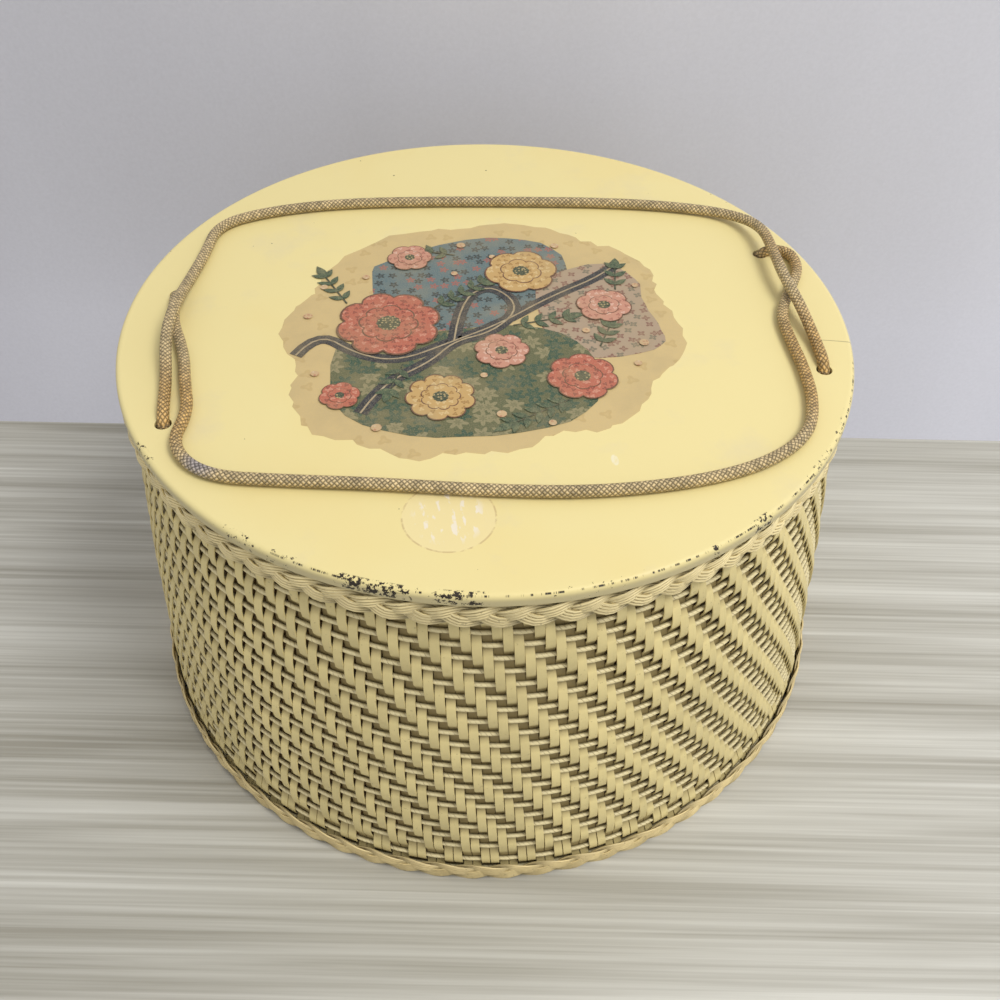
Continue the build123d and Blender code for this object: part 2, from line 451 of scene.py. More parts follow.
# %% Floor, backdrop and lamps
def stage_material(name, pale, dark, grain, turn, roughness, light_sweep=0.0):
    """A matt surface with streaks: long ones for the grain of a wooden table, upright ones for
    painted shade of folds in cloth.
    """
    material, tree, shader = new_material(name, roughness)
    place = object_place(tree)
    turned = stretched(place, Rotation=(0, 0, turn))
    streaks = []
    for stretch, scale, detail in grain:
        settings = {"Scale": scale, "Detail": detail, "Distortion": 0.35}
        drawn_out = stretched(turned, Scale=stretch)
        streaks.append(field(put(tree, "ShaderNodeTexNoise", Vector=drawn_out, **settings), "Fac"))
    coarse, fine = streaks
    tone = fine * 0.55 + coarse
    if light_sweep:  # weaker painted shade of folds, and painted light that makes the cloth lighter to the right
        tone = parts_of(place)[0] * -light_sweep + (tone * 0.16 + 0.62)
    coloured(shader, blend_colour(ramp(tone, 0.58, 0.98), pale, dark))
    # Seen from its wrong side the stage is clear, so it never hides the basket.
    wrong_side = field(put(tree, "ShaderNodeNewGeometry"), "Backfacing")
    clear = field(put(tree, "ShaderNodeBsdfTransparent"))
    either = put(tree, "ShaderNodeMixShader", i0=wrong_side, i1=field(shader), i2=clear)
    feed(tree.nodes["Material Output"].inputs["Surface"], field(either))
    return material


# The table ends close behind the basket, with room for its back.
TABLE_EDGE = [(-1.30, 0.343), (-0.215, 0.1727), (-0.16, 0.215), (0.16, 0.215)]
TABLE_EDGE += [(0.235, 0.1019), (1.30, -0.066), (1.30, -1.10), (-1.30, -1.10)]
table_mesh = bpy.data.meshes.new("table_top")
table_mesh.from_pydata([(x, y, 0) for x, y in TABLE_EDGE], [], [list(range(8))[::-1]])
table_top = add_object("table_top", table_mesh)
BOARD_PALE, BOARD_DARK = (0.64, 0.635, 0.585), (0.34, 0.325, 0.275)
BOARD_GRAIN = [((1.5, 40.0, 1.0), 1.3, 9.0), ((4.0, 420.0, 1.0), 1.0, 4.0)]
boards = stage_material("pale_boards", BOARD_PALE, BOARD_DARK, BOARD_GRAIN, VIEW_TURN, 0.45)
paint(table_top, boards)

bpy.ops.mesh.primitive_plane_add(
    size=3.4, location=(0.045, 0.255, 0.4), rotation=(pi / 2, 0, -radians(8.94))
)
backdrop = bpy.context.object
backdrop.name = "backdrop"
bpy.ops.object.transform_apply()
CLOTH_PALE, CLOTH_DARK = (0.80, 0.81, 0.90), (0.52, 0.52, 0.58)
CLOTH_FOLDS_AND_GRAIN = [((7.0, 7.0, 0.6), 1.0, 3.0), ((420.0, 420.0, 420.0), 1.0, 1.0)]
paint(backdrop, stage_material("grey_cloth", CLOTH_PALE, CLOTH_DARK, CLOTH_FOLDS_AND_GRAIN, 0.0, 0.9, 0.30))

world = bpy.data.worlds.new("soft_room")
bpy.context.scene.world = world
world.use_nodes = True
sky = world.node_tree.nodes["Background"]
feed(sky.inputs["Color"], (1.0, 0.985, 0.96))
feed(sky.inputs["Strength"], 0.62)

LAMP_PLACE, LAMP_AIM = Vector((1.0, -0.85, 2.3)), Vector((0, 0, 0.12))
bpy.ops.object.light_add(type="AREA", location=LAMP_PLACE)
lamp = bpy.context.object
lamp.name = "window"
lamp.rotation_mode = "QUATERNION"
lamp.rotation_quaternion = (LAMP_AIM - LAMP_PLACE).to_track_quat("-Z", "Y")
lamp.data.size = 1.0
lamp.data.energy = 35.5
lamp.data.color = (1.0, 0.985, 0.95)
bpy.context.scene.view_settings.view_transform = "Standard"
print("stage and light ready")

# %% [markdown]
# ## Finishes
# Everything on the basket was brushed or sprayed with the same cream paint, so the weave,
# the plaits and the lid share one colour that differs by how it has aged.  A node group
# gives that age: a slow drift of tone and small dark specks, both made from noise on the
# object's own coordinates.  Each material then adds what only it has.

# %% The aged paint group
aged_paint, given = start_group(
    "aged_paint",
    {"Colour": (0.75, 0.64, 0.32, 1), "Drift": 0.1, "Speck Size": 900.0, "Specks": 0.3},
    ["Colour", "Grain"],
)
place = object_place(aged_paint)
slow, fine = noise_value(place, 14.0), noise_value(place, 160.0, 4.0)
drift, grainy = (slow - 0.5) * given["Drift"], (fine - 0.5) * given["Drift"]
toned = scaled(given["Colour"], drift * 2.4 + 1.0 + grainy)
specks = noise_value(place, given["Speck Size"], 1.0, 0.5)
spotted = ramp(specks, 0.70, 0.76) * given["Specks"]
painted = blend_colour(spotted, toned, (0.10, 0.075, 0.04))
end_group(aged_paint, Colour=painted, Grain=fine)
print("paint group:", len(aged_paint.nodes), "nodes")

# %% The hollows group
# Dust and shade settle where a strand lies deep: the shade follows how far a point lies
# inside the basket's outer face.
hollows, given = start_group("hollows", {"Start": 0.0006, "End": 0.0032, "Shade": 0.4}, ["Shade"])
x, y, z = parts_of(object_place(hollows))
radius = maths("SQRT", x * x + y * y)
share = ramp(x / radius, LEAN_FROM, LEAN_FULL, kind="SMOOTHSTEP")
lean = share * ramp(z, 0.0, BASKET_HEIGHT, LEAN_LOW, LEAN_HIGH)
lower = ramp(z, 0.0, BASKET_HEIGHT / 2, FOOT_RADIUS, MIDDLE_RADIUS)
upper = ramp(z, BASKET_HEIGHT / 2, BASKET_HEIGHT, 0.0, MIDDLE_RADIUS - TOP_RADIUS)
depth = lower - upper - (radius - lean * (x / radius))
end_group(hollows, Shade=ramp(depth, given["Start"], given["End"], 1.0, given["Shade"]))
print("hollows group:", len(hollows.nodes), "nodes")

# %% [markdown]
# ## The weave
# The side is a twill.  Flat splints stand upright, thin twisted rods run round.  Each
# splint passes over two rods and then under two, and its neighbour on the right does the
# same one row lower, which draws the slanting lines.  There are only four different
# splints, one for each place in that rhythm, so four are shaped and each is repeated
# sixty-four times.  A splint could be extruded step by step.  Here its path is a flat
# curve with a flat section on it, which is how a strip of wood really bends.

# %% The rhythm of the weave
ROWS = [0.1825, 0.1749, 0.1673, 0.1604, 0.1532, 0.1457, 0.1379, 0.1301, 0.1226]
ROWS += [0.1153, 0.1076, 0.0999, 0.0926, 0.0852, 0.0776, 0.0701, 0.0627, 0.0552]
ROWS += [0.0470, 0.0388, 0.0308, 0.0229, 0.0116, 0.0040]
SHIFTS = list(range(-2, 20)) + [21, 23]  # the last rows are woven in pairs
SPLINTS = 256
SPLINT_STEP = 2 * pi / SPLINTS
UNDER_PAIR = radians(-92.79)  # middle of a pair of splints that is under the third rod
SPLINT_LEAN = radians(19.4)  # turn per metre of height
ROD_INSET = 0.00178
ROD_RADIUS = 0.00104
OVER, UNDER = 0.00040, 0.00318  # insets of a splint outside and behind the rods
SWELL_OVER, SWELL_UNDER = -0.00045, 0.00012  # how it bulges between two rods


def goes_over(phase, row):
    """Whether a splint of this phase lies outside the rod of this row."""
    return (phase - SHIFTS[row]) % 4 in (2, 3)


def splint_path(phase):
    """(height, inset) points of a splint from the rim down to the floor."""
    path = [(0.1865, OVER if goes_over(phase, 0) else UNDER)]
    for row, height in enumerate(ROWS):
        here = OVER if goes_over(phase, row) else UNDER
        path.append((height, here))
        if row == len(ROWS) - 1:
            break
        gap = ROWS[row + 1] - height
        there = OVER if goes_over(phase, row + 1) else UNDER
        if here == there:
            swell = SWELL_OVER if here == OVER else SWELL_UNDER
            shape = [(0.25, here + 0.7 * swell), (0.5, here + swell), (0.75, here + 0.7 * swell)]
        else:
            shape = [(0.25, here + 0.12 * (there - here)), (0.5, (here + there) / 2)]
            shape += [(0.75, here + 0.88 * (there - here))]
        path += [(height + share * gap, inset) for share, inset in shape]
    path.append((0.0012, path[-1][1]))
    return path


HALF_WIDTH, HALF_THICK = 0.00198, 0.00033
half_section = [(-1.0, 0.0001), (0.4, 0.0), (1.0, 0.0005)]  # share of thickness, rounding
section = [(t * HALF_THICK, r - HALF_WIDTH, 0) for t, r in half_section]
section += [(x, -y, 0) for x, y, _ in section[::-1]]
splint_section = drawn_curve("splint_section", [section])
print("rows:", len(ROWS), "splint step:", round(1000 * SPLINT_STEP * 0.17, 2), "mm")

# %% Shape four splints and repeat them round the basket
def lean_with_the_weave(piece):
    """Turn each point about the basket's axis by its height: the splints lean a little."""
    for vertex in piece.data.vertices:
        turn = SPLINT_LEAN * (ROWS[2] - vertex.co.z)
        x, y = vertex.co.x, vertex.co.y
        vertex.co.x = x * cos(turn) - y * sin(turn)
        vertex.co.y = x * sin(turn) + y * cos(turn)


def bend_one_splint(phase):
    """One splint, standing at angle zero."""
    points = [(side_radius(z, inset), z, 0) for z, inset in splint_path(phase)]
    splint = drawn_curve(f"splint_{phase}", [points], closed=False)
    splint.data.bevel_mode = "OBJECT"
    splint.data.bevel_object = splint_section
    splint.data.use_fill_caps = True
    work_on(splint)
    bpy.ops.object.convert(target="MESH")
    splint.rotation_euler = (pi / 2, 0, 0)
    bpy.ops.object.transform_apply(rotation=True)
    outwards(splint)
    return splint


def stand_in_ring(piece, first, step, count):
    """Turn a piece to its first place and repeat it round the basket's axis."""
    work_on(piece)
    piece.rotation_euler = (0, 0, first)
    bpy.ops.object.transform_apply(rotation=True)
    bpy.ops.object.empty_add(rotation=(0, 0, step))
    turner = bpy.context.object
    ring = {"use_relative_offset": False, "use_object_offset": True, "offset_object": turner}
    apply_modifier(piece, "ARRAY", count=count, **ring)
    bpy.data.objects.remove(turner)
    return piece


splint_rings = []
for phase in range(4):
    ring = bend_one_splint(phase)
    stand_in_ring(ring, UNDER_PAIR + (phase - 0.5) * SPLINT_STEP, 4 * SPLINT_STEP, SPLINTS // 4)
    lean_with_the_weave(ring)
    out_of_true(ring)
    ring.name = f"splints_{phase + 1}"
    settle(ring, 50)
    splint_rings.append(ring)
bpy.data.objects.remove(splint_section)
print("splints:", [triangles(ring) for ring in splint_rings], "triangles")

# %% [markdown]
# The rods are twisted paper cord.  Each is one ring.  It is pushed out a little where it
# lies over a pair of splints and drawn in where it passes behind the next pair, so every
# piece of rod that shows is slightly bowed.  A map runs along and around the rod, and the
# material uses it for the twist.

# %% Wind the rods
ROD_STEPS = 2 * SPLINTS
ROD_SIDES = 8
ROD_BOW, ROD_WANDER = 0.00022, 0.0004  # in time with the splints, and by hand


def wind_rod(row):
    """One closed rod, bowed in time with the splints that it passes."""
    height = ROWS[row]
    bpy.ops.mesh.primitive_torus_add(
        major_segments=ROD_STEPS,
        minor_segments=ROD_SIDES,
        major_radius=side_radius(height, ROD_INSET),
        minor_radius=ROD_RADIUS,
        location=(0, 0, height),
        generate_uvs=True,
    )
    rod = bpy.context.object
    bpy.ops.object.transform_apply(location=True)
    lean = SPLINT_LEAN * (ROWS[2] - height)
    for vertex in rod.data.vertices:
        angle = atan2(vertex.co.y, vertex.co.x)
        beat = (angle - UNDER_PAIR - lean) / (4 * SPLINT_STEP) - SHIFTS[row] / 4
        bow = 1 + ROD_BOW * cos(2 * pi * beat) / side_radius(height)
        vertex.co.x *= bow
        vertex.co.y *= bow
        vertex.co.z += ROD_WANDER * noise.noise((6 * cos(angle), 6 * sin(angle), 31 * row))
    return rod


rod_halves = []
for name, rows in (("rods_high", range(0, 12)), ("rods_low", range(12, len(ROWS)))):
    start_clean()
    rod_halves.append(join([wind_rod(row) for row in rows], name))
for rods in rod_halves:
    out_of_true(rods)
    settle(rods, 180)
print("rods:", [triangles(rods) for rods in rod_halves], "triangles")

# %% The finish of the splints
WEAVE_COLOUR, HOLLOW_DUST_AND_SHADE = (0.755, 0.635, 0.305), (0.31, 0.235, 0.10)
splint_paint, tree, shader = new_material("painted_splint", 0.5)
x, y, z = parts_of(object_place(tree))
around = maths("ARCTAN2", y, x) - (ROWS[2] - z) * SPLINT_LEAN
number = maths("FLOOR", (around - UNDER_PAIR) / SPLINT_STEP)
own = put(tree, "ShaderNodeTexWhiteNoise", {"noise_dimensions": "1D"}, W=number)
tone = ramp(field(own, "Value"), 0.0, 1.0, 0.93, 1.05)
aged = use_group(tree, aged_paint, Colour=WEAVE_COLOUR, Drift=0.16, Speck_Size=700.0, Specks=0.25)
deep = use_group(tree, hollows, Start=0.0005, End=0.0031, Shade=0.0)
# Where a splint lies deep behind the rods its colour turns to painted shade with some dust.
coloured(shader, blend_colour(deep["Shade"], HOLLOW_DUST_AND_SHADE, scaled(aged["Colour"], tone)))
grain = noise_value(place_of(tree, X=around * 420.0, Z=z * 40.0), 1.0, 2.0)
bumped(shader, grain, 0.25, 0.0004)
feed(shader.inputs["Roughness"], ramp(aged["Grain"], 0.3, 0.7, 0.42, 0.56))

# %% The finish of the rods
rod_paint, tree, shader = new_material("painted_rod", 0.36)
along, around, _ = parts_of(map_place(tree))
groove = ramp(maths("PINGPONG", around * 2.0 + along * 480.0, 0.5), 0.0, 0.14)
patchy = ramp(noise_value(object_place(tree), 300.0, 2.0), 0.46, 0.62)
aged = use_group(
    tree, aged_paint, Colour=(0.80, 0.695, 0.40), Drift=0.14, Speck_Size=1100.0, Specks=0.3
)
twisted = blend_colour((1.0 - groove) * patchy * 0.75, aged["Colour"], (0.30, 0.22, 0.10))
deep = use_group(tree, hollows, Start=0.0009, End=0.0026, Shade=0.28)
coloured(shader, scaled(twisted, deep["Shade"]))
bumped(shader, groove, 0.6, 0.00025)
for pieces, finish in ((splint_rings, splint_paint), (rod_halves, rod_paint)):
    for piece in pieces:
        paint(piece, finish)
        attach(piece, "basket")
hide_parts("woven_wall", "warp_splints")
print("weave materials ready")

# %% [markdown]
# ## The plaits
# A flat plait of three strands hides the ends of the splints at the rim, and another
# stands on the floor.  A strand sways from edge to edge once in a period, and at the
# same time it rises over one neighbour and dips under the other, twice in a period.
# The three strands are the same line, each a third of a period further on, so one strand
# is made and copied twice.  Each strand is a few round cords laid side by side.

# %% The plait helper
def plait_strand(
    name, periods, phase, middle, stand_off, sway, rise, cords, spacing, thickness, way, steps=16
):
    """One strand of a plait round the basket; way is 1 or -1, the way that its V points."""
    made = []
    count = periods * steps
    for number in range(cords):
        aside = (number - (cords - 1) / 2) * spacing
        line = []
        for i in range(count):
            angle = 2 * pi * i / count
            t = periods * angle
            slope = atan2(sway * cos(t) * periods, side_radius(middle))
            z = middle + sway * sin(t) + aside * cos(slope)
            shift = -aside * sin(slope) / side_radius(middle)
            uneven = noise.noise((9 * cos(angle), 9 * sin(angle), 5 * number))
            lie = rise * way * sin(2 * t) + 0.18 * thickness * uneven
            hollow = 0.35 * thickness * abs(2 * aside / (spacing * cords)) ** 2
            out = side_radius(middle) + stand_off + lie - hollow
            turn = angle + shift + phase
            line.append((out * cos(turn), out * sin(turn), z))
        cord = drawn_curve(name, [line], "3D")
        cord.data.bevel_depth = thickness
        cord.data.bevel_resolution = 1
        work_on(cord)
        bpy.ops.object.convert(target="MESH")
        made.append(bpy.context.object)
    return join(made, name)


def plait(name, periods, phase, **shape):
    """Three strands, the second and third copied from the first."""
    first = plait_strand(name, periods, phase=phase, **shape)
    strands = [first]
    for third in (1, 2):
        work_on(first)
        bpy.ops.object.duplicate()
        copy = bpy.context.object
        copy.rotation_euler = (0, 0, third * 2 * pi / periods / 3)
        bpy.ops.object.transform_apply(rotation=True)
        strands.append(copy)
    whole = join(strands, name)
    out_of_true(whole)
    outwards(whole)
    return settle(whole, 60)


# %% Plait the rim and the foot
RIM_PERIODS = 25
rim_plait = plait(
    "rim_plait",
    RIM_PERIODS,
    radians(-99.4) - 1.5 * pi / RIM_PERIODS,
    middle=0.1804,
    stand_off=0.0024,
    sway=0.0029,
    rise=0.00125,
    cords=4,
    spacing=0.00146,
    thickness=0.00066,
    way=1,
)
FOOT_PERIODS = 23
foot_plait = plait(
    "foot_plait",
    FOOT_PERIODS,
    radians(-94.7) - 1.0 * pi / FOOT_PERIODS,
    middle=0.0052,
    stand_off=0.0015,
    sway=0.0025,
    rise=0.0008,
    cords=6,
    spacing=0.00106,
    thickness=0.00052,
    way=-1,
)
for piece, node in ((rim_plait, "rim_braid"), (foot_plait, "base_braid")):
    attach(piece, "basket")
    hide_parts(node)
print("plaits:", triangles(rim_plait), triangles(foot_plait), "triangles")

# %% The finish of the plaits
def plait_finish(name, colour, stripes, darkness, roughness, start, end):
    """Painted paper cord: fine fibres along it, with dark stripes that are partly fibres and partly
    painted shade in the grooves between the cords.
    """
    material, tree, shader = new_material(name, roughness)
    place = object_place(tree)
    x, y, _ = parts_of(place)
    twist = maths("ARCTAN2", y, x) * stripes + parts_of(map_place(tree))[1] * 3.0
    fibre = ramp(maths("PINGPONG", noise_value(place, 260.0) * 0.8 + twist, 0.5), 0.0, 0.3)
    aged = use_group(tree, aged_paint, Colour=colour, Drift=0.2, Speck_Size=650.0, Specks=0.35)
    # The stripes are darkened: partly fibres, partly painted shade in the grooves between the
    # cords.
    fibres_and_groove_shade = blend_colour((1.0 - fibre) * darkness, aged["Colour"], (0.20, 0.14, 0.06))
    deep = use_group(tree, hollows, Start=start, End=end, Shade=0.22)
    coloured(shader, scaled(fibres_and_groove_shade, deep["Shade"]))
    bumped(shader, fibre, 0.45, 0.0002)
    return material


RIM_COLOUR, FOOT_COLOUR = (0.86, 0.73, 0.40), (0.84, 0.68, 0.345)
paint(rim_plait, plait_finish("rim_cord_paint", RIM_COLOUR, 5.0, 0.36, 0.45, -0.0034, -0.0002))
paint(foot_plait, plait_finish("foot_cord_paint", FOOT_COLOUR, 9.0, 0.42, 0.5, -0.0025, -0.0001))

# %% [markdown]
# ## The lid
# The lid is a sawn disc of board with a softly rounded upper edge and four drilled holes.
# A cylinder gives the disc.  Its edges are bevelled and its faces then inset once, so
# that the flat top keeps a flat shade right up to the rounding.  The holes are cut with
# a Boolean modifier, and their edges are broken with a small bevel, as sandpaper does.

# %% Turn the lid
LID_RADIUS = 0.165
LID_BOTTOM = 0.187
LID_MIDDLE = (LID_TOP + LID_BOTTOM) / 2
HAIR = 0.0001  # near enough to count as on an edge
HOLES = {
    "left_front": (-0.1410, -0.0560),
    "right_front": (0.1410, -0.0560),
    "left_back": (-0.1410, 0.0355),
    "right_back": (0.1410, 0.0355),
}
HOLE_RADIUS = 0.0034


def select_where(piece, kind, test):
    """In edit mode, select the faces or edges whose middle passes the test."""
    work_on(piece)
    bpy.ops.object.mode_set(mode="EDIT")
    bpy.ops.mesh.select_all(action="DESELECT")
    bpy.ops.mesh.select_mode(type=kind)
    bpy.ops.object.mode_set(mode="OBJECT")
    mesh = piece.data
    chosen = 0
    for part in mesh.polygons if kind == "FACE" else mesh.edges:
        corners = [mesh.vertices[i].co for i in part.vertices]
        part.select = bool(test(corners))
        chosen += part.select
    bpy.ops.object.mode_set(mode="EDIT")
    return chosen


start_clean()
bpy.ops.mesh.primitive_cylinder_add(
    vertices=256, radius=LID_RADIUS, depth=LID_TOP - LID_BOTTOM, location=(0, 0, LID_MIDDLE)
)
lid = bpy.context.object
lid.name = "painted_lid"
bpy.ops.object.transform_apply(location=True)
select_where(lid, "EDGE", lambda c: all(p.z > LID_TOP - HAIR for p in c))
bpy.ops.mesh.bevel(offset=0.0022, segments=5, affect="EDGES")
select_where(lid, "EDGE", lambda c: all(p.z < LID_BOTTOM + HAIR for p in c))
bpy.ops.mesh.bevel(offset=0.0010, segments=2, affect="EDGES")
for level in (LID_TOP, LID_BOTTOM):
    select_where(lid, "FACE", lambda c: all(abs(p.z - level) < 1e-5 for p in c) and len(c) > 100)
    bpy.ops.mesh.inset(thickness=0.0006)
bpy.ops.object.mode_set(mode="OBJECT")
start_clean()
for x, y in HOLES.values():
    bpy.ops.mesh.primitive_cylinder_add(
        vertices=40, radius=HOLE_RADIUS, depth=0.02, location=(x, y, LID_MIDDLE)
    )
    drill = bpy.context.object
    apply_modifier(lid, "BOOLEAN", operation="DIFFERENCE", object=drill, solver="EXACT")
    bpy.data.objects.remove(drill)


def on_hole_edge(corners):
    """Whether an edge lies level on the rim of one of the holes."""
    if abs(corners[0].z - corners[1].z) > 1e-6:
        return False
    return any(
        all(abs(hypot(p.x - x, p.y - y) - HOLE_RADIUS) < 2e-5 for p in corners)
        for x, y in HOLES.values()
    )


print("hole edges:", select_where(lid, "EDGE", on_hole_edge))
bpy.ops.mesh.bevel(offset=0.0004, segments=2, affect="EDGES")
bpy.ops.object.mode_set(mode="OBJECT")
settle(lid, 30)
apply_modifier(lid, "WEIGHTED_NORMAL", keep_sharp=True, weight=100)
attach(lid, "lid")
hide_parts("lid_board")
print("lid:", triangles(lid), "triangles")

# %% [markdown]
# ## The cords
# Each handle is one braided cord that lies on the lid and goes down through two of its
# holes.  Its line is a smooth curve with a few control points, the same that its plain
# solid follows.  The back cord rides over the front one at both sides.  The tube round
# that line carries a map, along and around, for the braid.

# %% The lines of the two handles
CORD_RADIUS = 0.0025
CORD_Z = LID_TOP + 0.0003 + CORD_RADIUS
HOLE_BOTTOM = 0.1902  # where a handle ends and a cord end begins
HOLE_DIP = 0.0006  # how far a cord sinks where it turns into its hole
BACK_ROUTE = [
    (-0.1410, -0.0560, 0), (-0.1408, -0.0320, 0), (-0.1420, -0.0070, 0.0054),
    (-0.1390, 0.0150, 0.0062), (-0.1352, 0.0390, 0.0012), (-0.1288, 0.0640, 0),
    (-0.1240, 0.0890, 0), (-0.1000, 0.0990, 0), (-0.0620, 0.1030, 0),
    (-0.0120, 0.0990, 0), (0.0320, 0.0935, 0), (0.0750, 0.0875, 0),
    (0.1110, 0.0790, 0), (0.1350, 0.0680, 0.0006), (0.1440, 0.0480, 0.0055),
    (0.1426, 0.0260, 0.0062), (0.1406, 0.0050, 0.0062), (0.1416, -0.0170, 0.0048),
    (0.1426, -0.0380, 0), (0.1410, -0.0560, 0),
]
FRONT_ROUTE = [
    (-0.1410, 0.0355, 0), (-0.1412, 0.0120, 0), (-0.1346, -0.0130, 0),
    (-0.1330, -0.0340, 0), (-0.1306, -0.0530, 0), (-0.1366, -0.0730, 0),
    (-0.1230, -0.0920, 0), (-0.0920, -0.0985, 0), (-0.0550, -0.1050, 0),
    (-0.0140, -0.1140, 0), (0.0260, -0.1200, 0), (0.0660, -0.1195, 0),
    (0.0960, -0.1130, 0), (0.1180, -0.0995, 0), (0.1275, -0.0790, 0),
    (0.1308, -0.0560, 0), (0.1316, -0.0350, 0), (0.1334, -0.0170, 0),
    (0.1445, 0.0010, 0), (0.1545, 0.0180, 0), (0.1540, 0.0330, 0),
    (0.1410, 0.0355, 0),
]


def smooth_line(route):
    """The points of a smooth curve with the route as its control points."""
    thing = drawn_curve("route", [route], "3D", closed=False, kind="NURBS")
    thing.data.resolution_u = 14
    return [vertex.co.copy() for vertex in mesh_of(thing).vertices]


# %% Lay the handles on the lid
def lay_handle(name, route):
    """One cord from the inside of a hole, over the lid, and into the other hole."""
    (x1, y1, _), (x2, y2, _) = route[0], route[-1]
    points = [(x1, y1, HOLE_BOTTOM), (x1, y1, CORD_Z - HOLE_DIP)]
    points += [(x, y, CORD_Z + rise) for x, y, rise in route[1:-1]]
    points += [(x2, y2, CORD_Z - HOLE_DIP), (x2, y2, HOLE_BOTTOM)]
    line = smooth_line(points)
    handle = tube_mesh(name, line, CORD_RADIUS, 20)
    outwards(handle)
    settle(handle, 180)
    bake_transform(handle)
    return handle


back_cord = lay_handle("cord_at_the_back", BACK_ROUTE)
front_cord = lay_handle("cord_at_the_front", FRONT_ROUTE)
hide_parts("back_handle")
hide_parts("front_handle")

# %% [markdown]
# Below the lid each cord end runs straight down inside the basket, through a hole in the
# base board, and is held by an overhand knot under it.  The lid slides up and down on
# these four cord ends.  A knot is the same closed curve of three turns each time, a tube
# round it, with the cut end of the cord lying beside it towards the middle.

# %% The cord ends inside the basket
TAIL_LOW, TAIL_HIGH = 0.0090, 0.1930
KNOT_MIDDLE = 0.0053
KNOT_SIZE, KNOT_RISE, KNOT_CORD = 0.00138, 0.0016, 0.0021  # loops, height, pressed cord


def knot_line(x, y):
    """The closed line of an overhand knot, its opening upwards."""
    line = []
    for i in range(60):
        t = 2 * pi * i / 60
        across = KNOT_SIZE * (sin(t) + 2 * sin(2 * t))
        deep = KNOT_SIZE * (cos(t) - 2 * cos(2 * t))
        line.append((x + across, y + deep, KNOT_MIDDLE - KNOT_RISE * sin(3 * t)))
    return line


tails, knots = {}, {}
for place, (x, y) in HOLES.items():
    tail_line = [(x, y, TAIL_LOW + (TAIL_HIGH - TAIL_LOW) * i / 46) for i in range(47)]
    tail = tube_mesh("tail_" + place, tail_line, CORD_RADIUS, 16)
    outwards(tail)
    settle(tail, 180)
    away = Vector((-x, -y, 0)).normalized()
    middle = Vector((x, y, KNOT_MIDDLE))
    coil = tube_mesh("coil", knot_line(x, y), KNOT_CORD, 14, closed=True)
    end_line = [middle + away * (0.011 * i / 8) for i in range(9)]
    stub = tube_mesh("stub", end_line, CORD_RADIUS, 14)
    knot = join([coil, stub], "knot_under_" + place)
    outwards(knot)
    settle(knot, 180)
    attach(knot, "basket")
    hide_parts("knot_" + place)
    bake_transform(tail)
    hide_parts("cord_tail_" + place)
    tails[place], knots[place] = tail, knot
print("cord ends and knots:", sum(triangles(p) for p in [*tails.values(), *knots.values()]))

# %% [markdown]
# ## The paint of the lid and the braid of the cords
# The lid is brush-painted wood in a warm cream.  Its edge has been knocked, so dark wood
# shows in chips, most of all at the front left.  The chips are noise that is only let
# through in named stretches of the edge.  The cords are braided from shiny thread: two
# sets of strands wind round in opposite ways and pass over and under each other.  Both
# are worked out from the cord's own map, along and around, so the braid follows every
# bend.

# %% The finish of the lid
LID_COLOUR = (0.815, 0.70, 0.335)
CHIPPED = [  # where along the edge, how far to each side, how much (degrees, degrees)
    (-111.8, 7.0, 0.225),
    (-101.3, 5.0, 0.20),
    (-131.5, 5.0, 0.135),
    (-125.0, 4.0, 0.115),
    (-58.0, 2.6, 0.175),
    (-66.6, 0.9, 0.19),
    (-38.0, 13.0, 0.12),
    (-154.4, 4.5, 0.15),
    (-85.0, 9.0, 0.085),
    (150.0, 12.0, 0.08),
    (35.0, 10.0, 0.08),
]
LABEL, LABEL_RADIUS = (-0.0311, -0.1231, LID_TOP), 0.0178
SCUFF, SCUFF_SIZE = (0.0377, -0.1005), (0.0016, 0.0034)
EDGE_CRACK = 0.2356  # radians below the right, where the board is cracked
lid_paint, tree, shader = new_material("lid_paint", 0.42, 0.35)
place = object_place(tree)
x, y, z = parts_of(place)
radius, azimuth = maths("SQRT", x * x + y * y), maths("ARCTAN2", y, x)
wear = 0.0
for middle, reach, strength in CHIPPED:
    away = abs(azimuth - radians(middle))
    chip = ramp(away, radians(reach), radians(reach * 0.45), 0.0, strength)
    wear = maths("MAXIMUM", chip, wear)
chips = noise_value(place, 520.0, 5.0, 0.7)
corner = ramp(radius, 0.1612, 0.1636) * ramp(z, 0.1868, 0.1900)
chipped = ramp(chips + wear, 0.715, 0.735) * ramp(corner, 0.35, 0.6)
# A broken dark line just inside the rounding, along the front.
dashes = noise_value(place_of(tree, X=azimuth * 60.0, Y=radius, Z=z), 1.15, 6.0, 0.75)
dashes = ramp(dashes, 0.515, 0.55) * ramp(abs(radius - 0.1642), 0.00042, 0.00016)
dashes = dashes * ramp(abs(azimuth + radians(72.0)), 1.0, 0.9)
# Small dark specks, one in some of the cells.
dots = put(tree, "ShaderNodeTexVoronoi", {"feature": "F1"}, Vector=place, Scale=105.0)
chosen = parts_of(field(dots, "Color"), "Color")
dot = maths("LESS_THAN", field(dots, "Distance"), ramp(chosen[1], 0.4, 1.0, 0.014, 0.055))
dot = dot * maths("GREATER_THAN", chosen[0], 0.45)
dirt = maths("MAXIMUM", maths("MAXIMUM", chipped, dashes), dot * 0.75)
clouds = ramp(noise_value(place, 9.0), 0.52, 0.72, 0.0, 0.35)
dusty = ramp(noise_value(place, 23.0, 6.0, 0.65), 0.56, 0.72, 0.0, 0.30)
